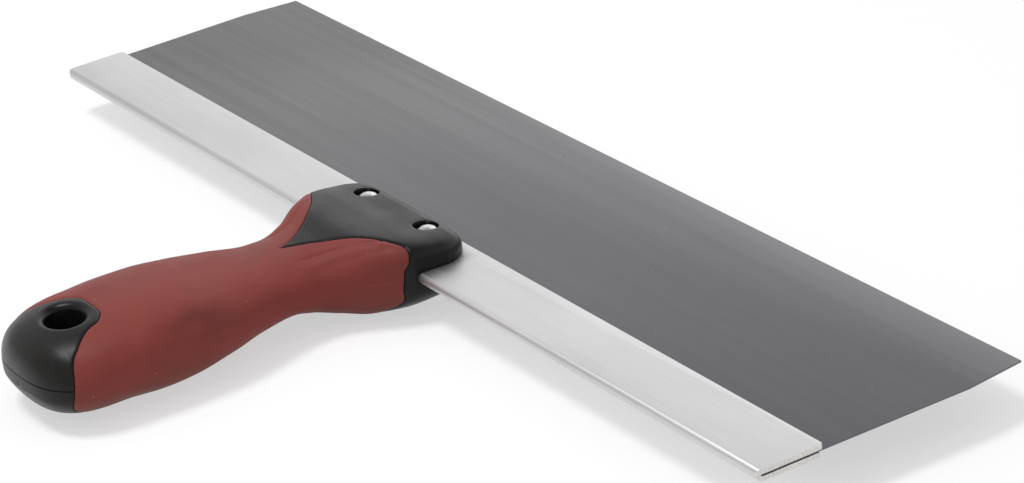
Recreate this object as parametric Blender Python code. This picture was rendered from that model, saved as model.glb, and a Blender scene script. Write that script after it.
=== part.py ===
"""Drywall taping knife: a spring steel blade held in a folded aluminium strip, and a two-material handle.

The blade is built flat. X runs along its length, Y from the handle to the working edge, +Z up out of the
face that carries the strip's rounded fold at the back. While it is built, the origin is the middle of the
strip's front edge, at the blade's mid-plane. A parent empty then sets the knife down on its handle's
underside, with the origin under the middle of its bounding box. Units are metres.
"""

from math import atan2, cos, pi, radians, sin, sqrt

import bmesh
import bpy
from mathutils import Matrix, Vector

MM = 0.001

# Clearance between pieces that seat on each other, how far a cutter passes the face that it cuts, how far
# one stays inside a wall that it must not touch, and the distance at which points merge
GAP = 0.3 * MM
PAST = 5.0 * MM
INSIDE = 0.1 * MM
MERGE = 0.001 * MM

# Blade
BLADE_LENGTH = 355.6 * MM
BLADE_REACH = 58.4 * MM
BLADE_THICKNESS = 0.5 * MM
CORNER_RELIEF = 2.1 * MM
CORNER_RELIEF_LENGTH = 16.9 * MM

# Folded backing strip
STRIP_WIDTH = 18.6 * MM
STRIP_WALL = 0.95 * MM
STRIP_CORNER = 2.0 * MM

# Handle lengths, from the front face backwards
HEAD_SETBACK = 0.8 * MM
HEAD_LENGTH = 33.2 * MM
GRIP_LENGTH = 64.0 * MM
BUTT_LENGTH = 20.9 * MM

# Handle half-widths, and its rises above and drops below the blade's mid-plane
HEAD_HALF = 28.4 * MM
NECK_HALF = 15.7 * MM
PALM_HALF = 23.3 * MM
HEAD_RISE = 9.9 * MM
NECK_RISE = 8.3 * MM
PALM_RISE = 11.9 * MM
HEAD_DROP = 12.8 * MM
NECK_DROP = 7.6 * MM
PALM_DROP = 12.8 * MM

# How far the jaws taper towards the front: fall of the top, lift of the underside, narrowing of each side
JAW_TOP_FALL = 2.8 * MM
JAW_BOTTOM_LIFT = 0.9 * MM
JAW_SIDE_TAPER = 0.9 * MM

# Rounding of the jaws' front edges and of the head's corners in plan
JAW_TOP_ROUND = 5.0 * MM
JAW_BOTTOM_ROUND = 6.0 * MM
JAW_CORNER_ROUND = 9.0 * MM

# Squareness of the butt's dome, and of its section's crown at the end: 2 is an ellipse, and larger is closer
# to a rectangle. BUTT_CROWN_REACH is the share of the dome over which the crown's squareness changes.
BUTT_PLAN_SQUARENESS = 2.9
BUTT_TOP_SQUARENESS = 2.8
BUTT_UNDERSIDE_SQUARENESS = 3.2
BUTT_CROWN_SQUARENESS = 2.3
BUTT_CROWN_REACH = 0.6

# How far the handle's widest line sinks below the blade's mid-plane at the end of the butt
BUTT_LINE_FALL = 3.3 * MM

# Hang hole, an oval that is wider across the handle. Its edge is rounded by HANG_HOLE_ROUND at the two ends
# of its length, and by more at its sides.
HANG_HOLE_HALF_LENGTH = 5.2 * MM
HANG_HOLE_HALF_WIDTH = 6.2 * MM
HANG_HOLE_FROM_END = 15.1 * MM
HANG_HOLE_ROUND = 1.5 * MM

# Soft grip: its wall over the spine, and its outline in plan. At the head it is a V, from its shoulders
# back to its point; at the butt it goes round a rigid tongue that carries the hang hole. Both ends lean
# back as they go down the handle's sides: by a share of the depth, which fades towards the centre line.
GRIP_WALL = 3.0 * MM
SPINE_LAP = 1.5 * MM
HEAD_SHOULDER = 20.6 * MM
HEAD_POINT = 41.6 * MM
BUTT_SHOULDER = 6.6 * MM
TONGUE_END_WALL = 1.1 * MM
TONGUE_SIDE_WALL = 2.6 * MM
HEAD_LEAN = 0.2
BUTT_LEAN = 0.3

# Rivets
RIVET_SPACING = 30.7 * MM
RIVET_SETBACK = 7.65 * MM
RECESS_RADIUS = 3.45 * MM
RECESS_TOP_DEPTH = 1.9 * MM
RECESS_BOTTOM_DEPTH = 2.3 * MM
RIVET_CROWN = 0.9 * MM
RIVET_RIM = 0.6 * MM
POST_RADIUS = 2.5 * MM
POST_BORE_RADIUS = 1.75 * MM
POST_BORE_DEPTH = 9.0 * MM
PIN_RADIUS = 1.4 * MM

# Mesh densities. Sections have two sides more than a multiple of four, which keeps their points off the
# centre line, where the grip's outline comes to a point. The fold has an odd number of steps, which keeps
# its edges off the handle's widest line.
SECTION_SIDES = 46
SPINE_SIDES = 30
RING_STEP = 3.0 * MM
OUTLINE_STEP = 1.7 * MM
DOME_ANGLES = (88.5, 85, 80, 73, 64, 54, 43, 31, 16)
NOSE_ANGLES = (18, 36, 52, 66, 78, 90)
FOLD_STEPS = 11
CORNER_STEPS = 6
ROUND_SIDES = 34
RIVET_SIDES = 28
RIVET_DOME_STEPS = 5
MOUTH_STEPS = 4

# Sizes and places that follow from the ones above
STRIP_THICKNESS = 2 * STRIP_WALL + BLADE_THICKNESS + 2 * GAP
BLADE_REAR = -STRIP_WIDTH + STRIP_THICKNESS / 2
HEAD_FRONT = -HEAD_SETBACK
HEAD_END = HEAD_FRONT - HEAD_LENGTH
BUTT_START = HEAD_END - GRIP_LENGTH
BUTT_END = BUTT_START - BUTT_LENGTH
HANG_HOLE_Y = BUTT_END + HANG_HOLE_FROM_END
HANG_HOLE_OVALNESS = HANG_HOLE_HALF_WIDTH / HANG_HOLE_HALF_LENGTH
MOUTH_HALF_LENGTH = HANG_HOLE_HALF_LENGTH + HANG_HOLE_ROUND
MOUTH_HALF_WIDTH = MOUTH_HALF_LENGTH * HANG_HOLE_OVALNESS
TONGUE_TIP = HANG_HOLE_Y + MOUTH_HALF_LENGTH + TONGUE_END_WALL
TONGUE_HALF = MOUTH_HALF_WIDTH + TONGUE_SIDE_WALL
GRIP_SHOULDER = HEAD_FRONT - HEAD_SHOULDER
GRIP_POINT = HEAD_FRONT - HEAD_POINT
CUTTER_HEIGHT = PALM_RISE + PALM_DROP


def blend(start, end, share):
    """A value part of the way from start to end."""
    return start + (end - start) * share


def material(name, color, roughness, metallic=0.0):
    """A Principled material with one colour."""
    made = bpy.data.materials.new(name)
    made.use_nodes = True
    shader = made.node_tree.nodes["Principled BSDF"]
    shader.inputs["Base Color"].default_value = (*color, 1.0)
    shader.inputs["Roughness"].default_value = roughness
    shader.inputs["Metallic"].default_value = metallic
    return made


def add_object(name, mesh_source, look=None):
    """Link a bmesh to the scene as a smooth-shaded object, under the knife's own empty."""
    bmesh.ops.recalc_face_normals(mesh_source, faces=mesh_source.faces)
    mesh = bpy.data.meshes.new(name)
    mesh_source.to_mesh(mesh)
    mesh_source.free()
    mesh.shade_smooth()
    mesh.set_sharp_from_angle(angle=radians(35))
    made = bpy.data.objects.new(name, mesh)
    bpy.context.collection.objects.link(made)
    made.parent = knife
    if look is None:
        made.hide_render = True
        made.display_type = "WIRE"
    else:
        mesh.materials.append(look)
    return made


def combine(target, other, operation):
    """Add an exact Boolean of the other object to the target."""
    step = target.modifiers.new(f"{operation.lower()}_{other.name}", "BOOLEAN")
    step.operation = operation
    step.solver = "EXACT"
    step.object = other


def loft(rings):
    """A closed skin over rings that hold equally many points, with its two ends filled."""
    made = bmesh.new()
    loops = [[made.verts.new(point) for point in points] for points in rings]
    for near, far in zip(loops, loops[1:]):
        for i in range(len(near)):
            made.faces.new((near[i - 1], near[i], far[i], far[i - 1]))
    made.faces.new(loops[0])
    made.faces.new(loops[-1])
    return made


def prism(outline, low, high):
    """An upright prism over an outline of (x, y) points."""
    return loft([[(x, y, z) for x, y in outline] for z in (low, high)])


def turned(profile, sides):
    """A solid turned about Z from (radius, height) points that start and end on the axis."""
    made = bmesh.new()
    verts = [made.verts.new((radius, 0.0, height)) for radius, height in profile]
    edges = [made.edges.new(pair) for pair in zip(verts, verts[1:])]
    bmesh.ops.spin(
        made, geom=verts + edges, cent=(0, 0, 0), axis=(0, 0, 1), angle=2 * pi, steps=sides, use_merge=True,
    )
    bmesh.ops.remove_doubles(made, verts=made.verts, dist=MERGE)
    return made


def arc(center, radius, start, end, steps):
    """Points on an arc, with angles in degrees."""
    angles = [radians(blend(start, end, i / steps)) for i in range(steps + 1)]
    return [(center[0] + radius * cos(angle), center[1] + radius * sin(angle)) for angle in angles]


def smooth_through(points, spacing):
    """A Catmull-Rom curve through (x, y) points, sampled about every spacing."""
    padded = [points[0], *points, points[-1]]
    curve = []
    for before, start, end, after in zip(padded, padded[1:], padded[2:], padded[3:]):
        steps = max(1, round((Vector(end) - Vector(start)).length / spacing))
        for i in range(steps):
            t = i / steps
            weights = (
                -0.5 * t + t**2 - 0.5 * t**3,
                1 - 2.5 * t**2 + 1.5 * t**3,
                0.5 * t + 2 * t**2 - 1.5 * t**3,
                -0.5 * t**2 + 0.5 * t**3,
            )
            knots = (before, start, end, after)
            curve.append(tuple(sum(w * knot[k] for w, knot in zip(weights, knots)) for k in (0, 1)))
    return [*curve, points[-1]]


def monotone(places, values, at):
    """A monotone cubic through values at rising places, so the outline has no ripples between them."""
    last = len(places) - 1
    steps = [places[i + 1] - places[i] for i in range(last)]
    slopes = [(values[i + 1] - values[i]) / steps[i] for i in range(last)]
    tangents = [0.0] * (last + 1)
    for i in range(1, last):
        if slopes[i - 1] * slopes[i] > 0:
            near, far = 2 * steps[i] + steps[i - 1], steps[i] + 2 * steps[i - 1]
            tangents[i] = (near + far) / (near / slopes[i - 1] + far / slopes[i])
    at = min(max(at, places[0]), places[-1])
    i = min(sum(place <= at for place in places[1:]), last - 1)
    t = (at - places[i]) / steps[i]
    return (
        values[i] * (1 + 2 * t) * (1 - t) ** 2
        + values[i + 1] * t**2 * (3 - 2 * t)
        + steps[i] * (tangents[i] * t * (1 - t) ** 2 - tangents[i + 1] * t**2 * (1 - t))
    )


def neck_to_palm(half, rise, drop):
    """Half-width, rise and drop at shares of the way from the neck's sizes to the palm's."""
    return (blend(NECK_HALF, PALM_HALF, half), blend(NECK_RISE, PALM_RISE, rise),
            blend(NECK_DROP, PALM_DROP, drop))


def neck_to_head(half, rise, drop):
    """Half-width, rise and drop at shares of the way from the neck's sizes to the head's."""
    return (blend(NECK_HALF, HEAD_HALF, half), blend(NECK_RISE, HEAD_RISE, rise),
            blend(NECK_DROP, HEAD_DROP, drop))


def jaws(side_taper, top_fall, bottom_lift):
    """Half-width, rise and drop of the head at shares of its taper towards the front."""
    return (HEAD_HALF - side_taper * JAW_SIDE_TAPER, HEAD_RISE - top_fall * JAW_TOP_FALL,
            HEAD_DROP - bottom_lift * JAW_BOTTOM_LIFT)


# The handle's stations: place along Y; half-width, rise and drop; squareness above and below
HANDLE_STATIONS = (
    (BUTT_START, *neck_to_palm(0.94, 0.90, 0.86), 2.9, 2.0),
    (blend(HEAD_END, BUTT_START, 0.84), *neck_to_palm(1.00, 1.00, 1.00), 2.9, 2.1),
    (blend(HEAD_END, BUTT_START, 0.69), *neck_to_palm(0.96, 0.94, 0.83), 2.95, 2.2),
    (blend(HEAD_END, BUTT_START, 0.53), *neck_to_palm(0.80, 0.64, 0.40), 3.0, 2.2),
    (blend(HEAD_END, BUTT_START, 0.37), *neck_to_palm(0.39, 0.35, 0.06), 3.0, 2.2),
    (blend(HEAD_END, BUTT_START, 0.20), *neck_to_palm(0.00, 0.02, 0.00), 2.7, 2.25),
    (blend(HEAD_END, BUTT_START, 0.11), *neck_to_head(0.02, 0.00, 0.25), 2.6, 2.3),
    (HEAD_END, *neck_to_head(0.27, 0.34, 0.64), 3.0, 2.5),
    (blend(HEAD_END, HEAD_FRONT, 0.24), *neck_to_head(0.67, 1.00, 1.00), 4.0, 2.6),
    (blend(HEAD_END, HEAD_FRONT, 0.48), *neck_to_head(0.96, 0.63, 1.00), 4.5, 2.6),
    (blend(HEAD_END, HEAD_FRONT, 0.72), *jaws(0.00, 0.68, 0.33), 4.6, 2.5),
    (HEAD_FRONT, *jaws(1.00, 1.00, 1.00), 4.6, 2.4),
)


def handle_form(y):
    """The handle's outside at y: half-width, rise, drop, squareness above and below, fall of its widest line."""
    places, *sizes = zip(*HANDLE_STATIONS)
    half, rise, drop, above, below = (monotone(places, values, y) for values in sizes)
    fall = 0.0
    if y < BUTT_START:
        share = min((BUTT_START - y) / BUTT_LENGTH, 1.0)
        fall = BUTT_LINE_FALL * share**2
        above = blend(above, BUTT_CROWN_SQUARENESS, min(share / BUTT_CROWN_REACH, 1.0))
        half *= (1 - share**BUTT_PLAN_SQUARENESS) ** (1 / BUTT_PLAN_SQUARENESS)
        rise *= (1 - share**BUTT_TOP_SQUARENESS) ** (1 / BUTT_TOP_SQUARENESS)
        drop *= (1 - share**BUTT_UNDERSIDE_SQUARENESS) ** (1 / BUTT_UNDERSIDE_SQUARENESS)
    half -= quarter_round(y, JAW_CORNER_ROUND)
    rise -= quarter_round(y, JAW_TOP_ROUND)
    drop -= quarter_round(y, JAW_BOTTOM_ROUND)
    return half, rise, drop, above, below, fall


def quarter_round(y, radius):
    """How far a face has curved in at y, where it meets the handle's front face in a quarter circle."""
    along = max(0.0, y - (HEAD_FRONT - radius))
    return radius - sqrt(max(radius**2 - along**2, 0.0))


def handle_section(y, inset, sides):
    """Points round the handle's section at y, drawn in by inset."""
    half, rise, drop, above, below, fall = handle_form(y)
    half, rise, drop = (size - inset for size in (half, rise, drop))
    points = []
    for i in range(sides):
        across, up = cos(2 * pi * i / sides), sin(2 * pi * i / sides)
        power = 2 / (above if up > 0 else below)
        height = rise + fall if up > 0 else fall - drop
        x = half * abs(across) ** power
        points.append((x if across > 0 else -x, y, height * abs(up) ** power - fall))
    return points


def handle_places():
    """Places of the rings along the handle: closer together on the butt's dome and the jaws' rounding."""
    dome = [BUTT_START - BUTT_LENGTH * sin(radians(angle)) for angle in DOME_ANGLES]
    straight = HEAD_FRONT - max(JAW_CORNER_ROUND, JAW_TOP_ROUND, JAW_BOTTOM_ROUND)
    count = round((straight - BUTT_START) / RING_STEP)
    middle = [blend(BUTT_START, straight, i / count) for i in range(count + 1)]
    nose = [blend(straight, HEAD_FRONT, sin(radians(angle))) for angle in NOSE_ANGLES]
    return dome + middle + nose


def handle_body():
    """The handle's whole outside: a dome at the butt, the palm and neck, and the rounded jaws."""
    return loft([handle_section(y, 0.0, SECTION_SIDES) for y in handle_places()])


def handle_inside(clearance):
    """The spine's form under the grip's wall, lapping into the butt's tongue and the head."""
    start, end = TONGUE_TIP - SPINE_LAP, GRIP_SHOULDER + SPINE_LAP
    count = round((end - start) / RING_STEP)
    places = [start + clearance, *(blend(start, end, i / count) for i in range(1, count + 1))]
    return loft([handle_section(y, GRIP_WALL + clearance, SPINE_SIDES) for y in places])


def moved_along(outline, offset):
    """The open outline moved sideways by offset, to the left of its direction of travel."""
    moved = []
    for i, point in enumerate(outline):
        ahead = Vector(outline[min(i + 1, len(outline) - 1)]) - Vector(outline[max(i - 1, 0)])
        side = Vector((-ahead.y, ahead.x)).normalized()
        moved.append(tuple(Vector(point) + side * offset))
    return moved


def mirrored(half_outline):
    """A half outline that starts on the centre line, with its mirror image before it."""
    return [(-x, y) for x, y in reversed(half_outline[1:])] + half_outline


def grip_outline(offset):
    """Plan of the soft grip, grown by offset at both ends: round the tongue at the butt, a V at the head."""
    beyond = max(HEAD_HALF, PALM_HALF) + PAST
    shoulder = BUTT_END + BUTT_SHOULDER
    butt = [
        (0.0, TONGUE_TIP),
        (0.52 * TONGUE_HALF, blend(TONGUE_TIP, shoulder, 0.06)),
        (0.90 * TONGUE_HALF, blend(TONGUE_TIP, shoulder, 0.25)),
        (1.08 * TONGUE_HALF, blend(TONGUE_TIP, shoulder, 0.50)),
        (1.42 * TONGUE_HALF, blend(TONGUE_TIP, shoulder, 0.79)),
        (1.82 * TONGUE_HALF, shoulder),
        (beyond, shoulder),
    ]
    head = [
        (0.0, GRIP_POINT),
        (0.10 * HEAD_HALF, blend(GRIP_POINT, GRIP_SHOULDER, 0.24)),
        (0.26 * HEAD_HALF, blend(GRIP_POINT, GRIP_SHOULDER, 0.49)),
        (0.41 * HEAD_HALF, blend(GRIP_POINT, GRIP_SHOULDER, 0.67)),
        (0.56 * HEAD_HALF, blend(GRIP_POINT, GRIP_SHOULDER, 0.82)),
        (0.70 * HEAD_HALF, blend(GRIP_POINT, GRIP_SHOULDER, 0.92)),
        (0.84 * HEAD_HALF, blend(GRIP_POINT, GRIP_SHOULDER, 0.98)),
        (1.00 * HEAD_HALF, GRIP_SHOULDER),
        (beyond, GRIP_SHOULDER),
    ]
    butt = moved_along(mirrored(smooth_through(butt, OUTLINE_STEP)), -offset)
    head = moved_along(mirrored(smooth_through(head, OUTLINE_STEP)), offset)
    return butt + head[::-1]


def grip_zone(offset):
    """Cutter over the soft grip's plan, with its ends leaning back down the handle's sides."""
    middle = (HEAD_END + BUTT_START) / 2
    plan = [(x, y, HEAD_LEAN if y > middle else BUTT_LEAN) for x, y in grip_outline(offset)]
    levels = (-CUTTER_HEIGHT, CUTTER_HEIGHT)
    return loft([[(x, y + lean * z * abs(x) / HEAD_HALF, z) for x, y, lean in plan] for z in levels])


def build_blade():
    """Spring steel sheet with its working corners relieved."""
    half = BLADE_LENGTH / 2
    outline = [
        (-half, BLADE_REAR),
        (half, BLADE_REAR),
        (half, BLADE_REACH - CORNER_RELIEF_LENGTH),
        (half - CORNER_RELIEF, BLADE_REACH),
        (-half + CORNER_RELIEF, BLADE_REACH),
        (-half, BLADE_REACH - CORNER_RELIEF_LENGTH),
    ]
    sheet = prism(outline, -BLADE_THICKNESS / 2, BLADE_THICKNESS / 2)
    blade = add_object("blade", sheet, BLUED_STEEL)
    combine(blade, rivet_clearance, "DIFFERENCE")


def build_strip():
    """Aluminium channel folded round the blade's rear edge, with rounded rear corners.

    Its faces are split where it leaves the handle on the left and right.
    """
    outer, inner = STRIP_THICKNESS / 2, STRIP_THICKNESS / 2 - STRIP_WALL
    fold = (-STRIP_WIDTH + outer, 0.0)
    profile = [
        (0.0, inner),
        (0.0, outer),
        *arc(fold, outer, 90, 270, FOLD_STEPS),
        (0.0, -outer),
        (0.0, -inner),
        *arc(fold, inner, 270, 90, FOLD_STEPS),
    ]
    half = BLADE_LENGTH / 2
    beside = HEAD_HALF + PAST
    channel = loft([[(x, y, z) for y, z in profile] for x in (-half, -beside, beside, half)])
    strip = add_object("backing_strip", channel, ALUMINIUM)
    corner = (half - STRIP_CORNER, -STRIP_WIDTH + STRIP_CORNER)
    right = [*arc(corner, STRIP_CORNER, 270, 360, CORNER_STEPS), (half, PAST)]
    outline = right + [(-x, y) for x, y in reversed(right)]
    combine(strip, add_object("cutter_strip_plan", prism(outline, -PAST, PAST)), "INTERSECT")
    combine(strip, rivet_clearance, "DIFFERENCE")


def rivet_places():
    """Name and place of each rivet."""
    return [(name, Vector((x, -RIVET_SETBACK, 0.0)))
            for name, x in (("left", -RIVET_SPACING / 2), ("right", RIVET_SPACING / 2))]


def recess_floors():
    """Heights of the flat floors of the upper and lower rivet recesses."""
    half, rise, drop, above, below, _ = handle_form(-RIVET_SETBACK)
    outward = RIVET_SPACING / 2 / half
    top = rise * (1 - outward**above) ** (1 / above)
    bottom = drop * (1 - outward**below) ** (1 / below)
    return top - RECESS_TOP_DEPTH, -bottom + RECESS_BOTTOM_DEPTH


def join(name, parts):
    """One cutter from several separate bmeshes, each already in place."""
    merged = bmesh.new()
    for part in parts:
        mesh = bpy.data.meshes.new(name)
        part.to_mesh(mesh)
        part.free()
        merged.from_mesh(mesh)
        bpy.data.meshes.remove(mesh)
    return add_object(name, merged)


def rod(radius, low, high, place, sides):
    """An upright solid rod."""
    made = turned([(0.0, low), (radius, low), (radius, high), (0.0, high)], sides)
    bmesh.ops.translate(made, verts=made.verts, vec=place)
    return made


def widened(shape):
    """A turned cutter on the Z axis, widened along X to the hang hole's oval."""
    bmesh.ops.scale(shape, verts=shape.verts, vec=(HANG_HOLE_OVALNESS, 1, 1))
    return shape


def strip_slot():
    """Slot between the jaws: the strip's section with clearance, through the head and out of its front."""
    reach = HEAD_HALF + PAST
    outer = STRIP_THICKNESS / 2 + GAP
    fold = (-STRIP_WIDTH - GAP + outer, 0.0)
    section = [*arc(fold, outer, 90, 270, FOLD_STEPS), (PAST, -outer), (PAST, outer)]
    return add_object("cutter_slot", loft([[(x, y, z) for y, z in section] for x in (-reach, reach)]))


def rivet_seats():
    """Holes for the rivet posts through both jaws, with a recess for a rivet's head at each end."""
    top, bottom = recess_floors()
    seats = []
    for _, place in rivet_places():
        seats.append(turned([
            (0.0, bottom - CUTTER_HEIGHT), (RECESS_RADIUS, bottom - CUTTER_HEIGHT), (RECESS_RADIUS, bottom),
            (POST_RADIUS + GAP, bottom), (POST_RADIUS + GAP, top), (RECESS_RADIUS, top),
            (RECESS_RADIUS, top + CUTTER_HEIGHT), (0.0, top + CUTTER_HEIGHT),
        ], ROUND_SIDES))
        bmesh.ops.translate(seats[-1], verts=seats[-1].verts, vec=place)
    return join("cutter_rivet_seats", seats)


def hang_hole():
    """Cutter for the hang hole, right through the butt."""
    hole = widened(rod(HANG_HOLE_HALF_LENGTH, -CUTTER_HEIGHT, CUTTER_HEIGHT, (0, 0, 0), ROUND_SIDES))
    bmesh.ops.translate(hole, verts=hole.verts, vec=(0, HANG_HOLE_Y, 0))
    return add_object("cutter_hang_hole", hole)


def hole_mouth(name, side):
    """Cutter that rounds the hang hole's edge, tilted to the surface above (side 1) or below (side -1)."""
    throat = HANG_HOLE_HALF_LENGTH - INSIDE
    profile = [(0.0, -HANG_HOLE_ROUND - PAST), (throat, -HANG_HOLE_ROUND - PAST), (throat, -HANG_HOLE_ROUND)]
    profile += arc((MOUTH_HALF_LENGTH, -HANG_HOLE_ROUND), HANG_HOLE_ROUND, 180, 90, MOUTH_STEPS)
    profile += [(MOUTH_HALF_LENGTH, PAST), (0.0, PAST)]
    mouth = widened(turned(profile, ROUND_SIDES))
    size = 1 if side > 0 else 2
    near, here, far = (handle_form(HANG_HOLE_Y + k * HANG_HOLE_HALF_LENGTH)[size] for k in (-1, 0, 1))
    tilt = Matrix.Rotation(atan2(far - near, 2 * HANG_HOLE_HALF_LENGTH), 4, "X")
    flip = Matrix.Scale(side, 4, (0, 0, 1))
    place = Matrix.Translation((0, HANG_HOLE_Y, side * here))
    bmesh.ops.transform(mouth, matrix=place @ flip @ tilt, verts=mouth.verts)
    return add_object(name, mouth)


def build_handle_core():
    """Rigid moulding: butt, spine and forked head, with the slot, the rivet seats and the hang hole."""
    core = add_object("handle_core", handle_body(), BLACK_PLASTIC)
    around_spine = add_object("cutter_around_spine", grip_zone(GAP))
    combine(around_spine, add_object("spine", handle_inside(GAP)), "DIFFERENCE")
    for cutter in (
        around_spine,
        strip_slot(),
        rivet_seats(),
        hang_hole(),
        hole_mouth("cutter_mouth_above", 1),
        hole_mouth("cutter_mouth_below", -1),
    ):
        combine(core, cutter, "DIFFERENCE")


def build_soft_grip():
    """Soft overmould: a sleeve round the spine, cut to the tongue at the butt and the V at the head."""
    grip = add_object("soft_grip", handle_body(), RED_RUBBER)
    combine(grip, add_object("cutter_grip_zone", grip_zone(0.0)), "INTERSECT")
    combine(grip, add_object("cutter_spine", handle_inside(0.0)), "DIFFERENCE")


def build_rivets():
    """Two compression rivets: a domed cap whose pin presses into the hollow post of the lower half."""
    top, bottom = recess_floors()
    head = RECESS_RADIUS - GAP
    seat, foot = top + GAP, bottom - GAP
    bore_floor = seat - GAP - POST_BORE_DEPTH
    crown_radius = (head**2 + RIVET_CROWN**2) / (2 * RIVET_CROWN)
    spread = [head * (1 - i / RIVET_DOME_STEPS) for i in range(RIVET_DOME_STEPS + 1)]
    dome = [(x, sqrt(crown_radius**2 - x**2) - crown_radius + RIVET_CROWN) for x in spread]
    cap = [(0.0, bore_floor + GAP), (PIN_RADIUS, bore_floor + GAP), (PIN_RADIUS, seat), (head, seat)]
    cap += [(x, seat + RIVET_RIM + z) for x, z in dome]
    post = [(x, foot - RIVET_RIM - z) for x, z in reversed(dome)]
    post += [(head, foot), (POST_RADIUS, foot), (POST_RADIUS, seat - GAP), (POST_BORE_RADIUS, seat - GAP)]
    post += [(POST_BORE_RADIUS, bore_floor), (0.0, bore_floor)]
    for name, place in rivet_places():
        for half_name, profile in (("cap", cap), ("post", post)):
            body = turned(profile, RIVET_SIDES)
            bmesh.ops.translate(body, verts=body.verts, vec=place)
            add_object(f"rivet_{half_name}_{name}", body, BRIGHT_STEEL)


for old in list(bpy.data.objects):
    bpy.data.objects.remove(old)

BLUED_STEEL = material("blued_steel", (0.20, 0.20, 0.22), 0.35, 0.9)
ALUMINIUM = material("aluminium", (0.72, 0.72, 0.72), 0.35, 1.0)
BLACK_PLASTIC = material("black_plastic", (0.03, 0.03, 0.032), 0.45)
RED_RUBBER = material("red_rubber", (0.30, 0.07, 0.06), 0.6)
BRIGHT_STEEL = material("bright_steel", (0.75, 0.75, 0.76), 0.25, 1.0)

outside = [point for y in handle_places() for point in handle_section(y, 0.0, SECTION_SIDES)]
lowest = min(z for _, _, z in outside)
rearmost = min(y for _, y, _ in outside)
knife = bpy.data.objects.new("knife", None)
knife.location = (0.0, -(BLADE_REACH + rearmost) / 2, -lowest)
bpy.context.collection.objects.link(knife)

rivet_clearance = join("cutter_rivet_clearance", [
    rod(POST_RADIUS + GAP, -PAST, PAST, place, RIVET_SIDES) for _, place in rivet_places()
])
build_blade()
build_strip()
build_handle_core()
build_soft_grip()
build_rivets()
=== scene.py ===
"""Drywall taping knife: a long spring steel blade in a folded aluminium strip, on a two-material handle.

The sections follow the knife as it is put together: blade, strip, rigid moulding, soft overmould, rivets.
Units are metres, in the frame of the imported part.
"""

from math import cos, pi, radians, sin, sqrt

import bmesh
import bpy
from mathutils import Matrix, Vector
from mathutils.kdtree import KDTree


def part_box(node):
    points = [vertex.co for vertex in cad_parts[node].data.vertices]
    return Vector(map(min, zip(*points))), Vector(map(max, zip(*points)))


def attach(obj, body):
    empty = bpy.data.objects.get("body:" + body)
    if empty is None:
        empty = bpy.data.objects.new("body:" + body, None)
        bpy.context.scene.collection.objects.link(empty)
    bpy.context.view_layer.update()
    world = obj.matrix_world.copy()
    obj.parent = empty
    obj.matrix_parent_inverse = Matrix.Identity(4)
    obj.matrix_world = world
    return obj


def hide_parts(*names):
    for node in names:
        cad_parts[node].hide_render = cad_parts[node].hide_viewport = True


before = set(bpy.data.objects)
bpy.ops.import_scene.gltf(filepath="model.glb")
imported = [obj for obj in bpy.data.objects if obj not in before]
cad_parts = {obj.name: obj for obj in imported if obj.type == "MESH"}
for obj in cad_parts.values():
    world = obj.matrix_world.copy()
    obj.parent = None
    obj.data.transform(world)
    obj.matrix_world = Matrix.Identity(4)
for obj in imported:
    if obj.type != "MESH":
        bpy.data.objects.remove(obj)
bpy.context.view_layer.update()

# ---------------------------------------------------------------------------------------------------------
# Blade. A sheet of blued spring steel, sheared to length, with its two working corners eased so that they
# don't dig into the board. It is punched for the two rivets and held by the strip along its rear edge.
# ---------------------------------------------------------------------------------------------------------

MM = 0.001
CORNER_EASE = 2.1 * MM
CORNER_EASE_LENGTH = 16.9 * MM
SHEARED_EDGE = 0.05 * MM
# Inside the strip the blade's ends are set back, from a little behind the strip's front edge
END_SET_BACK = 0.35 * MM
SET_BACK_UNDER = 1.0 * MM
RIVET_HOLE_RADIUS = 2.8 * MM
ROUND_SIDES = 72
MERGE = 0.0005 * MM
REACH = 60 * MM
SMOOTH_UP_TO = radians(35)
SHARP_FROM = radians(45)
BLUED_REAR = (0.132, 0.130, 0.145)
BLUED_FRONT = (0.136, 0.135, 0.145)
BLUED_PAINTED_FAR_SHADE = (0.104, 0.103, 0.109)
BLUED_CLOUD = (0.168, 0.168, 0.176)
BLUED_LINE = (0.106, 0.106, 0.115)
BLUED_SPECK = (0.42, 0.42, 0.43)

blade_low, blade_high = (Vector(corner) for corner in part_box("blade"))
strip_low, strip_high = (Vector(corner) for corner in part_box("backing_strip"))
cap_boxes = [[Vector(corner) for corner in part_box(f"rivet_cap_{side}")] for side in ("left", "right")]
rivet_axes = [(low + high) / 2 for low, high in cap_boxes]
mid_plane = (blade_low.z + blade_high.z) / 2
strip_front = strip_high.y


def shade(made):
    """Shade the object smooth, with sharp edges where its faces meet at more than SMOOTH_UP_TO."""
    made.data.shade_smooth()
    made.data.set_sharp_from_angle(angle=SMOOTH_UP_TO)


def piece(name, shape, *finishes):
    """Link a bmesh as an object with its finishes, smooth-shaded up to its real edges."""
    mesh = bpy.data.meshes.new(name)
    shape.to_mesh(mesh)
    shape.free()
    made = bpy.data.objects.new(name, mesh)
    bpy.context.collection.objects.link(made)
    for finish in finishes:
        mesh.materials.append(finish)
    shade(made)
    return made


def stands_for(made, slot, *nodes):
    """The piece rides on the knife and replaces its CAD nodes. The slot is not used."""
    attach(made, "root")
    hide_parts(*nodes)


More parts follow.
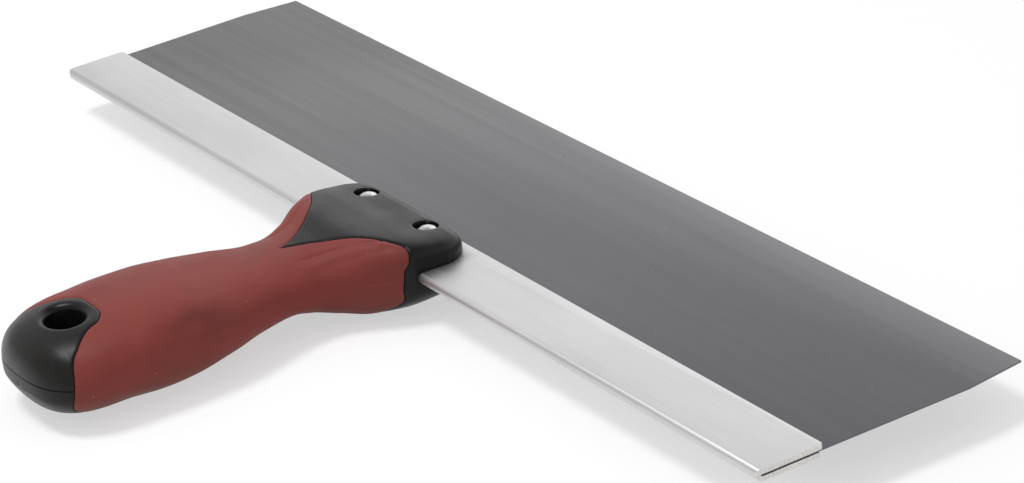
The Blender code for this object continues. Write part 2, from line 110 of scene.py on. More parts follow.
def cut(made, cutter, operation="DIFFERENCE"):
    """Apply a Boolean to the object's mesh. Cut faces take its first finish, and the cutter is used up."""
    cutter.data.materials.clear()
    for finish in made.data.materials[:1]:
        cutter.data.materials.append(finish)
    step = made.modifiers.new(operation, "BOOLEAN")
    step.operation, step.solver, step.object = operation, "MANIFOLD", cutter
    evaluated = made.evaluated_get(bpy.context.evaluated_depsgraph_get())
    result = bpy.data.meshes.new_from_object(evaluated)
    made.modifiers.clear()
    old, made.data = made.data, result
    result.name = old.name
    bpy.data.meshes.remove(old)
    bpy.data.objects.remove(cutter)
    shade(made)


def block(size, centre):
    """A box of the given size about its centre."""
    shape = bmesh.new()
    bmesh.ops.create_cube(shape, size=1.0)
    bmesh.ops.scale(shape, vec=size, verts=shape.verts)
    bmesh.ops.translate(shape, vec=centre, verts=shape.verts)
    return shape


def bar(radius, low, high, at):
    """An upright round bar between two heights, used to punch a hole."""
    shape = bmesh.new()
    bmesh.ops.create_cone(
        shape, cap_ends=True, segments=ROUND_SIDES, radius1=radius, radius2=radius, depth=high - low,
    )
    bmesh.ops.translate(shape, verts=shape.verts, vec=(at.x, at.y, (low + high) / 2))
    return piece("punch", shape)


def punch(made, radius, low=mid_plane - REACH, high=mid_plane + REACH):
    """Punch a round hole in the object at each rivet, right through or between two heights."""
    for axis in rivet_axes:
        cut(made, bar(radius, low, high, axis))


def split(shape, place, outward, trim=False):
    """Split a shape's faces along a plane. To trim it, take away what lies outside and close the gap."""
    everything = [*shape.verts, *shape.edges, *shape.faces]
    bmesh.ops.bisect_plane(shape, geom=everything, plane_co=place, plane_no=outward, clear_outer=trim)
    if trim:
        bmesh.ops.holes_fill(shape, edges=shape.edges)


def round_off(shape, edges, radius, steps):
    """Round the edges off, as far as their faces leave room."""
    bmesh.ops.bevel(
        shape, geom=edges, offset=radius, segments=steps, profile=0.5, affect="EDGES", material=-1,
        clamp_overlap=True,
    )


def add_node(tree, kind, inputs, **settings):
    """Add a node with its settings, and set its inputs or link them to other nodes."""
    made = tree.nodes.new(kind)
    for name, value in settings.items():
        setattr(made, name, value)
    for key, value in inputs.items():
        if isinstance(value, bpy.types.NodeSocket):
            tree.links.new(value, made.inputs[key])
        else:
            made.inputs[key].default_value = value
    return made


def add_ramp(tree, value, low, high, to_low, to_high):
    """Map a value from one range to another, clamped, with a soft start and end."""
    inputs = {"Value": value, "From Min": low, "From Max": high, "To Min": to_low, "To Max": to_high}
    return add_node(tree, "ShaderNodeMapRange", inputs, interpolation_type="SMOOTHSTEP").outputs["Result"]


class Finish:
    """A Principled material whose patterns are read from Object coordinates."""

    def __init__(self, name, metallic=0.0, specular=0.5):
        self.material = bpy.data.materials.new(name)
        self.material.use_nodes = True
        self.tree = self.material.node_tree
        self.shader = self.tree.nodes["Principled BSDF"]
        self.set("Metallic", metallic)
        self.set("Specular IOR Level", specular)
        self.coordinates = self.node("ShaderNodeTexCoord", {}).outputs["Object"]
        self.colour = None

    def set(self, socket, value):
        """Set one of the shader's inputs to a constant, or link a pattern to it."""
        target = self.shader.inputs[socket]
        if isinstance(value, bpy.types.NodeSocket):
            self.tree.links.new(value, target)
        else:
            target.default_value = value

    def node(self, kind, inputs, **settings):
        """Add a node to the material."""
        return add_node(self.tree, kind, inputs, **settings)

    def place(self, stretch=(1, 1, 1), turn=(0, 0, 0), shift=(0, 0, 0)):
        """Object coordinates stretched, turned and moved."""
        inputs = {"Vector": self.coordinates, "Location": shift, "Rotation": turn, "Scale": stretch}
        return self.node("ShaderNodeMapping", inputs).outputs["Vector"]

    def noise(self, size, stretch=(1, 1, 1), detail=3.0, turn=(0, 0, 0), shift=(0, 0, 0), rough=0.5):
        """Noise with features of about the given size, stretched per axis."""
        inputs = {"Vector": self.place(stretch, turn, shift), "Scale": 1 / size, "Detail": detail,
                  "Roughness": rough}
        return self.node("ShaderNodeTexNoise", inputs).outputs["Fac"]

    def coordinate(self, axis):
        """The coordinate along an axis of the object."""
        return self.node("ShaderNodeSeparateXYZ", {"Vector": self.coordinates}).outputs[axis]

    def fit(self, value, low, high, to_low, to_high):
        """Map a value from one range to another, clamped, with a soft start and end."""
        return add_ramp(self.tree, value, low, high, to_low, to_high)

    def along(self, axis, start, end, share=1.0):
        """A ramp from 0 to share between two places along an axis of the object."""
        return self.fit(self.coordinate(axis), start, end, 0.0, share)

    def product(self, first, second):
        """One value times another."""
        return self.node("ShaderNodeMath", {0: first, 1: second}, operation="MULTIPLY").outputs["Value"]

    def specks(self, spacing, spot, patch_size, patch, share):
        """Specks at scattered points, up to a share. They show where noise passes through the patch range."""
        inputs = {"Vector": self.place(), "Scale": 1 / spacing}
        away = self.node("ShaderNodeTexVoronoi", inputs).outputs["Distance"]
        spots = self.fit(away, *spot, 1.0, 0.0)
        return self.product(spots, self.fit(self.noise(patch_size), *patch, 0.0, share))

    def blend(self, share, first, second):
        """A colour part of the way from the first to the second."""
        made = self.node("ShaderNodeMix", {"Factor": share}, data_type="RGBA")
        for name, colour in (("A", first), ("B", second)):
            target = next(socket for socket in made.inputs if socket.name == name and socket.enabled)
            if isinstance(colour, bpy.types.NodeSocket):
                self.tree.links.new(colour, target)
            else:
                target.default_value = (*colour, 1.0)
        return next(socket for socket in made.outputs if socket.enabled)

    def paint(self, share, first, second):
        """Make the base colour run from the first colour to the second, as a pattern says."""
        self.colour = self.blend(share, first, second)
        self.set("Base Color", self.colour)

    def cover(self, share, colour):
        """Lay a colour over the base colour so far, as a pattern says."""
        self.paint(share, self.colour, colour)

    def relief(self, height, depth):
        """Bump of the given depth for a height of 0 to 1."""
        inputs = {"Height": height, "Distance": depth, "Strength": 1.0}
        self.set("Normal", self.node("ShaderNodeBump", inputs).outputs["Normal"])


# Rolling lines and faint clouds run along the blade, and painted shade darkens it towards its far end
blued_steel = Finish("blued_steel", metallic=1.0)
rolled = blued_steel.noise(3 * MM, (0.012, 1, 1), detail=5.0, rough=0.6)
cloudy = blued_steel.noise(45 * MM, (0.35, 1, 1), shift=(0.3, 0.1, 0))
blued_steel.paint(blued_steel.along("Y", strip_front, blade_high.y), BLUED_REAR, BLUED_FRONT)
# Painted shade: the blade's reflection is made darker towards its far end
blued_steel.cover(blued_steel.along("X", 60 * MM, -100 * MM), BLUED_PAINTED_FAR_SHADE)
blued_steel.cover(blued_steel.fit(cloudy, 0.35, 0.7, 0.0, 0.35), BLUED_CLOUD)
blued_steel.cover(blued_steel.fit(rolled, 0.35, 0.75, 0.0, 0.12), BLUED_LINE)
blued_steel.cover(blued_steel.specks(5 * MM, (0.035, 0.06), 9 * MM, (0.50, 0.60), 0.45), BLUED_SPECK)
blued_steel.set("Roughness", blued_steel.fit(rolled, 0.3, 0.7, 0.32, 0.37))
blued_steel.relief(rolled, 0.002 * MM)

sheet = block(blade_high - blade_low, (blade_high + blade_low) / 2)
for side in (-1, 1):
    corner = Vector((side * (blade_high.x - CORNER_EASE), blade_high.y, mid_plane))
    outward = Vector((side * CORNER_EASE_LENGTH, CORNER_EASE, 0)).normalized()
    split(sheet, corner, outward, trim=True)
split(sheet, (0, strip_front - SET_BACK_UNDER, 0), (0, 1, 0))
for vert in sheet.verts:
    if vert.co.y < strip_front:
        vert.co.x -= END_SET_BACK * (1 if vert.co.x > 0 else -1)
sheared = [edge for edge in sheet.edges if edge.calc_face_angle(0.0) > SHARP_FROM]
round_off(sheet, sheared, SHEARED_EDGE, 2)
blade = piece("blade_sheet", sheet, blued_steel.material)
punch(blade, RIVET_HOLE_RADIUS)
stands_for(blade, "blade_steel", "blade")

# ---------------------------------------------------------------------------------------------------------
# Backing strip. Aluminium sheet folded in half along its length and pressed flat on the blade's rear edge.
# Its ends are sawn off square and left rough, its rear corners are rounded, and its lower lip is shorter.
# ---------------------------------------------------------------------------------------------------------

BLADE_SPACE = 0.03 * MM
FOLD_STEPS = 24
LOWER_LIP_SHORT = 1.2 * MM
REAR_CORNER = 2.0 * MM
FRONT_CORNER = 1.0 * MM
CORNER_STEPS = 10
STRIP_EDGE = 0.12 * MM
STRIP_EDGE_STEPS = 3
STRIP_SHARP_FROM = radians(50)
SATIN, SAWN = 0, 1
SAWN_FACING = 0.6
# Where the painted shade lies beside the head: overlap under it, width out from it, depth along the strip
PAINTED_SHADE_OVERLAP = 1.0 * MM
PAINTED_SHADE_WIDTH = 3.5 * MM
PAINTED_SHADE_DEPTH = 6 * MM
SATIN_PALE = (0.69, 0.682, 0.688)
SATIN_HANDLED = (0.63, 0.622, 0.628)
SATIN_BRUSHED = (0.50, 0.50, 0.51)
SATIN_SCRATCH = (0.80, 0.80, 0.80)
# Painted shade beside the head
SATIN_PAINTED_SHADE = (0.20, 0.20, 0.21)
SAWN_PALE = (0.82, 0.80, 0.765)
SAWN_TORN = (0.66, 0.64, 0.605)

head_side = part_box("handle_core")[1][0]
half_thick = (strip_high.z - strip_low.z) / 2
inner_fold = (blade_high.z - blade_low.z) / 2 + BLADE_SPACE
fold_line = Vector((strip_low.x, strip_low.y + half_thick, mid_plane))


def pulled(shape, grown, by):
    """Move what an extrusion has just grown, and return its edges."""
    new_verts = [item for item in grown["geom"] if isinstance(item, bmesh.types.BMVert)]
    bmesh.ops.translate(shape, verts=new_verts, vec=by)
    return [item for item in grown["geom"] if isinstance(item, bmesh.types.BMEdge)]


def folded(inner, outer, lower_lip, upper_lip, overhang=0.0):
    """A wall folded round the blade's rear edge, from inner to outer off the mid-plane, out to two lips."""
    shape = bmesh.new()
    start = fold_line - Vector((overhang, 0, 0))
    wall = [shape.verts.new(start + Vector((0, 0, height))) for height in (inner, outer)]
    bmesh.ops.spin(
        shape, geom=[*wall, shape.edges.new(wall)], cent=fold_line, axis=(1, 0, 0), angle=pi,
        steps=FOLD_STEPS,
    )
    bmesh.ops.remove_doubles(shape, verts=shape.verts, dist=MERGE)
    open_ends = [
        edge for edge in shape.edges if all(abs(vert.co.y - fold_line.y) < MERGE for vert in edge.verts)
    ]
    for edge in open_ends:
        lip = upper_lip if sum(vert.co.z - mid_plane for vert in edge.verts) > 0 else lower_lip
        pulled(shape, bmesh.ops.extrude_edge_only(shape, edges=[edge]), (0, lip - fold_line.y, 0))
    bmesh.ops.remove_doubles(shape, verts=shape.verts, dist=MERGE)
    grown = bmesh.ops.extrude_face_region(shape, geom=shape.faces[:], use_keep_orig=True)
    pulled(shape, grown, (strip_high.x - strip_low.x + 2 * overhang, 0, 0))
    bmesh.ops.recalc_face_normals(shape, faces=shape.faces)
    return shape


# A faint brushed grain and long scratches run along the strip
satin_aluminium = Finish("satin_aluminium", metallic=1.0)
brushed = satin_aluminium.noise(0.5 * MM, (0.02, 1, 1), detail=4.0, rough=0.65)
handled = satin_aluminium.noise(30 * MM, (0.5, 1, 1), detail=4.0)
scratched = satin_aluminium.noise(1.2 * MM, (0.008, 1, 1), detail=2.0, turn=(0, 0, 0.03))
satin_aluminium.paint(satin_aluminium.fit(handled, 0.35, 0.7, 0.0, 1.0), SATIN_PALE, SATIN_HANDLED)
satin_aluminium.cover(satin_aluminium.fit(brushed, 0.40, 0.70, 0.0, 0.09), SATIN_BRUSHED)
satin_aluminium.cover(satin_aluminium.fit(scratched, 0.66, 0.72, 0.0, 0.18), SATIN_SCRATCH)

# Painted shadow: a dark grainy shade where the strip comes out of the head, standing for the head's shadow
# and reflection on the strip
sideways = satin_aluminium.node("ShaderNodeMath", {0: satin_aluminium.coordinate("X")}, operation="ABSOLUTE")
painted_shade_beside_head = satin_aluminium.product(
    satin_aluminium.fit(
        sideways.outputs["Value"], head_side - PAINTED_SHADE_OVERLAP, head_side + PAINTED_SHADE_WIDTH, 1.0, 0.0,
    ),
    satin_aluminium.along("Y", strip_front, strip_front - PAINTED_SHADE_DEPTH),
)
grainy_shade = satin_aluminium.fit(satin_aluminium.noise(0.3 * MM, detail=2.0), 0.35, 0.60, 0.25, 0.85)
# The painted shade is laid over the satin colour beside the head
satin_aluminium.cover(satin_aluminium.product(painted_shade_beside_head, grainy_shade), SATIN_PAINTED_SHADE)
satin_aluminium.set("Roughness", satin_aluminium.fit(brushed, 0.3, 0.7, 0.38, 0.46))
satin_aluminium.relief(brushed, 0.002 * MM)

sawn_aluminium = Finish("sawn_aluminium", metallic=0.55)
torn = sawn_aluminium.noise(0.6 * MM, (1, 1, 0.5), detail=5.0, rough=0.7)
sawn_aluminium.paint(sawn_aluminium.fit(torn, 0.35, 0.7, 0.0, 1.0), SAWN_PALE, SAWN_TORN)
sawn_aluminium.set("Roughness", 0.6)
sawn_aluminium.relief(torn, 0.04 * MM)

strip = piece(
    "folded_strip", folded(inner_fold, half_thick, strip_front - LOWER_LIP_SHORT, strip_front),
    satin_aluminium.material, sawn_aluminium.material,
)
plan_middle = (strip_high + strip_low) / 2
plan = block((strip_high.x - strip_low.x, strip_high.y - strip_low.y, REACH), plan_middle)
for radius, behind in ((REAR_CORNER, True), (FRONT_CORNER, False)):
    upright = [
        edge for edge in plan.edges
        if abs(edge.verts[0].co.z - edge.verts[1].co.z) > REACH / 2
        and (edge.verts[0].co.y < plan_middle.y) == behind
    ]
    round_off(plan, upright, radius, CORNER_STEPS)
cut(strip, piece("plan", plan), "INTERSECT")
punch(strip, RIVET_HOLE_RADIUS)

shape = bmesh.new()
shape.from_mesh(strip.data)
bmesh.ops.remove_doubles(shape, verts=shape.verts, dist=MERGE)
square = [
    edge for edge in shape.edges
    if edge.calc_face_angle(0.0) > STRIP_SHARP_FROM
    and all(
        (vert.co.xy - axis.xy).length > 2 * RIVET_HOLE_RADIUS for vert in edge.verts for axis in rivet_axes
    )
]
round_off(shape, square, STRIP_EDGE, STRIP_EDGE_STEPS)
for face in shape.faces:
    at_end = abs(face.calc_center_median().x) > strip_high.x / 2
    face.material_index = SAWN if at_end and abs(face.normal.x) > SAWN_FACING else SATIN
shape.to_mesh(strip.data)
shape.free()
shade(strip)
stands_for(strip, "strip_aluminium", "backing_strip")

# ---------------------------------------------------------------------------------------------------------
# Rigid moulding. Black nylon in one shot: the butt with its hang hole, a spine that runs under the soft
# grip, and the head, which is forked round the strip and carries the rivets. The handle's outside form is
# one skin, stretched over sections along the handle; both shots are cut from it.
# ---------------------------------------------------------------------------------------------------------

HEAD_LENGTH = 33.2 * MM
GRIP_LENGTH = 64.0 * MM
HEAD_HALF = 28.4 * MM
NECK_HALF = 15.7 * MM
PALM_HALF = 23.3 * MM
HEAD_RISE = 9.9 * MM
NECK_RISE = 8.3 * MM
NECK_DROP = 7.6 * MM
JAW_TOP_FALL = 2.8 * MM
JAW_BOTTOM_LIFT = 0.9 * MM
JAW_SIDE_TAPER = 0.9 * MM
JAW_TOP_ROUND = 5.0 * MM
JAW_BOTTOM_ROUND = 6.0 * MM
JAW_CORNER_ROUND = 9.0 * MM
# The butt's dome. Squareness: 2 is an ellipse, and larger is closer to a rectangle
BUTT_PLAN_SQUARENESS = 2.9
BUTT_TOP_SQUARENESS = 2.8
BUTT_UNDERSIDE_SQUARENESS = 2.8
BUTT_CROWN_SQUARENESS = 2.3
BUTT_CROWN_REACH = 0.6
BUTT_LINE_FALL = 3.3 * MM
# Hang hole, with its rounded mouth. The mouth's angles are in degrees
HANG_HOLE_HALF_LENGTH = 5.0 * MM
HANG_HOLE_OVALNESS = 1.29
HANG_HOLE_FROM_END = 15.1 * MM
MOUTH_HALF_LENGTH = 6.97 * MM
MOUTH_ROUND = 2.04 * MM
MOUTH_ANGLES = range(15, 91, 5)
MOUTH_CUTTER_HEIGHT = 5 * MM
# Seam between the two shots. A lean is a share of the height, in full at HEAD_HALF from the middle
GRIP_WALL = 3.0 * MM
SEAM = 0.24 * MM
SPINE_LAP = 1.5 * MM
HEAD_SHOULDER = 20.6 * MM
HEAD_POINT = 41.6 * MM
BUTT_SHOULDER = 6.6 * MM
TONGUE_END_WALL = 0.83 * MM
TONGUE_SIDE_WALL = 1.6 * MM
HEAD_LEAN = 0.2
BUTT_LEAN = 0.3
FLANK_FROM, FLANK_WIDTH = 0.72, 0.2
# Rivets' recesses, and the slot for the strip
RECESS_RADIUS = 3.45 * MM
RECESS_TOP_DEPTH = 1.9 * MM
RECESS_BOTTOM_DEPTH = 2.3 * MM
SLOT_CLEARANCE = 0.25 * MM
SLOT_OVERHANG = 5 * MM
# Fineness of the skin. The dome's step is in degrees
SKIN_SIDES = 272
SPINE_SIDES = 96
RING_STEP = 0.32 * MM
DOME_STEP = 0.8
DOME_RINGS = 112
NOSE_RINGS = 40
SIDE_CROWDING = 0.4
OUTLINE_STEP = 0.4 * MM
OUTLINE_OVERHANG = 5 * MM
CURVE_STEP = 0.3 * MM
# Relief of the skin: seam, rims, crease and pillow, parting line and flash
SEAM_ROLL = 0.8 * MM
SEAM_DEPTH = 0.24 * MM
RIM_ROLL = 0.7 * MM
RIM_DEPTH = 0.18 * MM
# In plan on the right wing of the V: the crease along its edge, and the thumb pillow beside it
CREASE = [(x * MM, strip_front + y * MM) for x, y in (
    (9.0, -44.5), (9.4, -42.1), (9.7, -38.9), (10.4, -36.3), (11.9, -32.6), (14.4, -29.6), (16.7, -26.4),
    (18.9, -23.1),
)]
PILLOW = [(x * MM, strip_front + y * MM) for x, y in (
    (12.3, -40.5), (12.8, -37.8), (14.6, -32.8), (17.4, -28.4), (20.0, -24.6),
)]
FADE_IN = 7 * MM
FAR_WING_SHARE = 0.35
CREASE_WIDTH = 1.2 * MM
CREASE_DEPTH = 0.55 * MM
PILLOW_WIDTH = 3.0 * MM
PILLOW_HEIGHT = 0.60 * MM
PARTING_DEPTH = 0.25 * MM
PARTING_WIDTH = 0.28 * MM
FLASH_HEIGHT = 0.18 * MM
FLASH_LENGTH = 10 * MM
NYLON_BLACK = (0.0050, 0.0051, 0.0056)
NYLON_WORN = (0.0078, 0.0078, 0.0082)
# Painted sheen for the butt's end
NYLON_PAINTED_BUTT_SHEEN = (0.022, 0.019, 0.016)
NYLON_DUST = (0.11, 0.105, 0.10)

core_low, core_high = (Vector(corner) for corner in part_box("handle_core"))
palm_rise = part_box("soft_grip")[1][2] - mid_plane
full_drop = mid_plane - core_low.z
head_front = core_high.y
head_end = head_front - HEAD_LENGTH
butt_start = head_end - GRIP_LENGTH
butt_end = core_low.y
hang_hole = Vector((0, butt_end + HANG_HOLE_FROM_END, mid_plane))
tongue_tip = hang_hole.y + MOUTH_HALF_LENGTH + TONGUE_END_WALL
tongue_half = MOUTH_HALF_LENGTH * HANG_HOLE_OVALNESS + TONGUE_SIDE_WALL
grip_shoulder = head_front - HEAD_SHOULDER
grip_point = head_front - HEAD_POINT
grip_middle = head_end - GRIP_LENGTH / 2


def between(start, end, share):
    """A value part of the way from start to end."""
    return start + (end - start) * share


def monotone(places, values, at):
    """A smooth curve through values at rising places, with no ripples between them."""
    last = len(places) - 1
    steps = [places[i + 1] - places[i] for i in range(last)]
    slopes = [(values[i + 1] - values[i]) / steps[i] for i in range(last)]
    tangents = [0.0] * (last + 1)
    for i in range(1, last):
        if slopes[i - 1] * slopes[i] > 0:
            near, far = 2 * steps[i] + steps[i - 1], steps[i] + 2 * steps[i - 1]
            tangents[i] = (near + far) / (near / slopes[i - 1] + far / slopes[i])
    at = min(max(at, places[0]), places[-1])
    i = min(sum(place <= at for place in places[1:]), last - 1)
    t = (at - places[i]) / steps[i]
    return (
        values[i] * (1 + 2 * t) * (1 - t) ** 2
        + values[i + 1] * t**2 * (3 - 2 * t)
        + steps[i] * (tangents[i] * t * (1 - t) ** 2 - tangents[i + 1] * t**2 * (1 - t))
    )


def neck_to_palm(half, rise, drop):
    """Half-width, rise and drop at shares of the way from the neck's sizes to the palm's."""
    return (between(NECK_HALF, PALM_HALF, half), between(NECK_RISE, palm_rise, rise),
            between(NECK_DROP, full_drop, drop))


def neck_to_head(half, rise, drop):
    """Half-width, rise and drop at shares of the way from the neck's sizes to the head's."""
    return (between(NECK_HALF, HEAD_HALF, half), between(NECK_RISE, HEAD_RISE, rise),
            between(NECK_DROP, full_drop, drop))


def jaws(side_taper, top_fall, bottom_lift):
    """Half-width, rise and drop of the head at shares of its taper towards the front."""
    return (HEAD_HALF - side_taper * JAW_SIDE_TAPER, HEAD_RISE - top_fall * JAW_TOP_FALL,
            full_drop - bottom_lift * JAW_BOTTOM_LIFT)


# Stations from butt to front: place along the handle; half-width, rise, drop; squareness above and below
STATIONS = (
    (butt_start, *neck_to_palm(0.94, 0.90, 0.93), 2.9, 2.0),
    (between(head_end, butt_start, 0.84), *neck_to_palm(1.00, 1.00, 1.00), 2.9, 2.1),
    (between(head_end, butt_start, 0.69), *neck_to_palm(0.96, 0.94, 0.83), 2.95, 2.2),
    (between(head_end, butt_start, 0.53), *neck_to_palm(0.80, 0.64, 0.40), 3.0, 2.2),
    (between(head_end, butt_start, 0.37), *neck_to_palm(0.39, 0.35, 0.06), 3.0, 2.2),
    (between(head_end, butt_start, 0.20), *neck_to_palm(0.00, 0.02, 0.00), 2.7, 2.25),
    (between(head_end, butt_start, 0.11), *neck_to_head(0.02, 0.00, 0.25), 2.6, 2.3),
    (head_end, *neck_to_head(0.27, 0.34, 0.64), 3.0, 2.5),
    (between(head_end, head_front, 0.24), *neck_to_head(0.67, 1.00, 1.00), 4.6, 2.6),
    (between(head_end, head_front, 0.48), *neck_to_head(0.96, 0.63, 1.00), 6.2, 2.6),
    (between(head_end, head_front, 0.72), *jaws(0.00, 0.68, 0.33), 6.6, 2.5),
    (head_front, *jaws(1.00, 1.00, 1.00), 6.6, 2.4),
)


def quarter_round(y, radius):
    """How far a face has curved in at y, where it meets the front face in a quarter circle."""
    along = max(0.0, y - (head_front - radius))
    return radius - sqrt(max(radius**2 - along**2, 0.0))


def form(y):
    """Half-width, rise, drop, squareness above and below, and fall of the widest line, at y."""
    places, *sizes = zip(*STATIONS)
    half, rise, drop, above, below = (monotone(places, values, y) for values in sizes)
    fall = 0.0
    if y < butt_start:
        share = min((butt_start - y) / (butt_start - butt_end), 1.0)
        fall = BUTT_LINE_FALL * share**2
        above = between(above, BUTT_CROWN_SQUARENESS, min(share / BUTT_CROWN_REACH, 1.0))
        half *= (1 - share**BUTT_PLAN_SQUARENESS) ** (1 / BUTT_PLAN_SQUARENESS)
        rise *= (1 - share**BUTT_TOP_SQUARENESS) ** (1 / BUTT_TOP_SQUARENESS)
        drop *= (1 - share**BUTT_UNDERSIDE_SQUARENESS) ** (1 / BUTT_UNDERSIDE_SQUARENESS)
    half -= quarter_round(y, JAW_CORNER_ROUND)
    rise -= quarter_round(y, JAW_TOP_ROUND)
    drop -= quarter_round(y, JAW_BOTTOM_ROUND)
    return half, rise, drop, above, below, fall


def skin(places, sides, inset):
    """A grid wrapped round the handle's sections at the places, drawn in by inset, and closed at its ends."""
    shape = bmesh.new()
    bmesh.ops.create_grid(shape, x_segments=sides, y_segments=len(places) - 1, size=0.5)
    sections = [form(y) for y in places]
    for vert in shape.verts:
        row = round((vert.co.y + 0.5) * (len(places) - 1))
        half, rise, drop, above, below, fall = sections[row]
        turn = 2 * pi * (vert.co.x + 0.5)
        turn += SIDE_CROWDING / 2 * sin(2 * turn)
        across, up = cos(turn), sin(turn)
        power = above if up > 0 else below
        reach = (abs(across) ** power + abs(up) ** power) ** (-1 / power)
        height = rise - inset + fall if up > 0 else drop - inset - fall
        vert.co = ((half - inset) * across * reach, places[row], mid_plane - fall + height * up * reach)
    bmesh.ops.remove_doubles(shape, verts=shape.verts, dist=MERGE)
    bmesh.ops.holes_fill(shape, edges=[edge for edge in shape.edges if edge.is_boundary])
    bmesh.ops.recalc_face_normals(shape, faces=shape.faces)
    return shape


def skin_height(x, y, side):
    """The height of the skin over or under a place in plan, for side 1 or -1."""
    half, rise, drop, above, below, fall = form(y)
    size, power = (rise + fall, above) if side > 0 else (drop - fall, below)
    return mid_plane - fall + side * size * (1 - min(abs(x) / half, 1.0) ** power) ** (1 / power)


def evenly(start, end, step):
    """Places from start to end, about a step apart."""
    count = round((end - start) / step)
    return [between(start, end, i / count) for i in range(count + 1)]


def curve_through(points, spacing):
    """Points about a spacing apart on a smooth curve through the given ones."""
    padded = [Vector(points[0]), *(Vector(point) for point in points), Vector(points[-1])]
    curve = []
    for before, start, end, after in zip(padded, padded[1:], padded[2:], padded[3:]):
        count = max(1, round((end - start).length / spacing))
        for i in range(count):
            t = i / count
            curve.append(
                before * (-0.5 * t + t**2 - 0.5 * t**3) + start * (1 - 2.5 * t**2 + 1.5 * t**3)
                + end * (0.5 * t + 2 * t**2 - 1.5 * t**3) + after * (-0.5 * t**2 + 0.5 * t**3)
            )
    return [*curve, padded[-1]]


def both_sides(half_line):
    """A line that starts on the handle's centre line, with its mirror image before it."""
    return [Vector((-point.x, *point[1:])) for point in reversed(half_line[1:])] + half_line


# Where the soft grip ends, in plan: round a tongue at the butt, and in a V at the head
beyond = HEAD_HALF + OUTLINE_OVERHANG
butt_shoulder = butt_end + BUTT_SHOULDER
butt_line = both_sides(curve_through([
    (0.0, tongue_tip),
    (0.52 * tongue_half, between(tongue_tip, butt_shoulder, 0.06)),
    (0.90 * tongue_half, between(tongue_tip, butt_shoulder, 0.25)),
    (1.08 * tongue_half, between(tongue_tip, butt_shoulder, 0.50)),
    (1.42 * tongue_half, between(tongue_tip, butt_shoulder, 0.79)),
    (1.82 * tongue_half, butt_shoulder),
    (beyond, butt_shoulder),
], OUTLINE_STEP))
head_line = both_sides(curve_through([
    (0.0, grip_point),
    (0.10 * HEAD_HALF, between(grip_point, grip_shoulder, 0.24)),
    (0.26 * HEAD_HALF, between(grip_point, grip_shoulder, 0.49)),
    (0.41 * HEAD_HALF, between(grip_point, grip_shoulder, 0.67)),
    (0.56 * HEAD_HALF, between(grip_point, grip_shoulder, 0.82)),
    (0.70 * HEAD_HALF, between(grip_point, grip_shoulder, 0.92)),
    (0.84 * HEAD_HALF, between(grip_point, grip_shoulder, 0.98)),
    (1.00 * HEAD_HALF, grip_shoulder),
    (beyond, grip_shoulder),
], OUTLINE_STEP))

# Scallops of the grip's front edge down the head's sides: height over the blade, and how far it moves on
SCALLOPS = [(height * MM, ahead * MM) for height, ahead in (
    (-30, 1.4), (-9, 1.3), (-6.7, 1.0), (-4.6, 0.5), (-3.3, -0.05), (-2.4, -0.3), (1.3, -0.4), (2.9, -0.45),
    (3.6, 0.0), (4.6, 0.4), (5.8, 0.5), (8.2, 0.8), (30, 0.9),
)]


def ease(share):
    """A share clamped to 0 to 1, with a soft start and end."""
    share = min(max(share, 0.0), 1.0)
    return share**2 * (3 - 2 * share)


def lean(x, y, height):
    """How far the grip's edge moves along the handle at a height above or below the blade."""
    if y < grip_middle:
        return BUTT_LEAN * height * abs(x) / HEAD_HALF
    flank = ease((abs(x) / HEAD_HALF - FLANK_FROM) / FLANK_WIDTH)
    return HEAD_LEAN * height * abs(x) / HEAD_HALF + flank * monotone(*zip(*SCALLOPS), height)


def offset(line, distance):
    """A line in plan, moved to its left by a distance."""
    moved = []
    for i, point in enumerate(line):
        ahead = line[min(i + 1, len(line) - 1)] - line[max(i - 1, 0)]
        moved.append(point + Vector((-ahead.y, ahead.x)).normalized() * distance)
    return moved


def grip_zone(growth):
    """Cutter over the soft grip's plan, grown at both ends, that follows its edges down the sides."""
    outline = offset(butt_line, -growth) + offset(head_line, growth)[::-1]
    levels = [height for height, _ in SCALLOPS]
    shape = bmesh.new()
    rim = [shape.verts.new((point.x, point.y, mid_plane + levels[0])) for point in outline]
    loop = [shape.edges.new(pair) for pair in zip(rim, [*rim[1:], rim[0]])]
    bmesh.ops.contextual_create(shape, geom=loop)
    for low, high in zip(levels, levels[1:]):
        loop = pulled(shape, bmesh.ops.extrude_edge_only(shape, edges=loop), (0, 0, high - low))
    bmesh.ops.contextual_create(shape, geom=loop)
    for vert in shape.verts:
        vert.co.y += lean(vert.co.x, vert.co.y, vert.co.z - mid_plane)
    bmesh.ops.recalc_face_normals(shape, faces=shape.faces)
    return piece("grip_zone", shape)


def spine(clearance):
    """The handle's form inside the grip's wall, lapping into the butt's tongue and the head."""
    places = evenly(tongue_tip - SPINE_LAP + clearance, grip_shoulder + SPINE_LAP, 4 * RING_STEP)
    return piece("spine", skin(places, SPINE_SIDES, GRIP_WALL + clearance))


def near(line):
    """A finder for the nearest point of a line."""
    tree = KDTree(len(line))
    for i, point in enumerate(line):
        tree.insert(point.to_3d(), i)
    tree.balance()
    return lambda point: tree.find(point)[2]


def dent(distance, width):
    """A rounded dip: 1 at its middle, and 0 from its width outwards."""
    return ease(1 - distance / width)


def turned(profile, at):
    """A solid turned about an upright axis, from (radius, height) points that start and end on it."""
    shape = bmesh.new()
    verts = [shape.verts.new((radius, 0, height)) for radius, height in profile]
    edges = [shape.edges.new(pair) for pair in zip(verts, verts[1:])]
    bmesh.ops.spin(
        shape, geom=[*verts, *edges], cent=(0, 0, 0), axis=(0, 0, 1), angle=2 * pi, steps=ROUND_SIDES,
        use_merge=True,
    )
    bmesh.ops.remove_doubles(shape, verts=shape.verts, dist=MERGE)
    bmesh.ops.translate(shape, verts=shape.verts, vec=(at.x, at.y, 0))
    bmesh.ops.recalc_face_normals(shape, faces=shape.faces)
    return shape


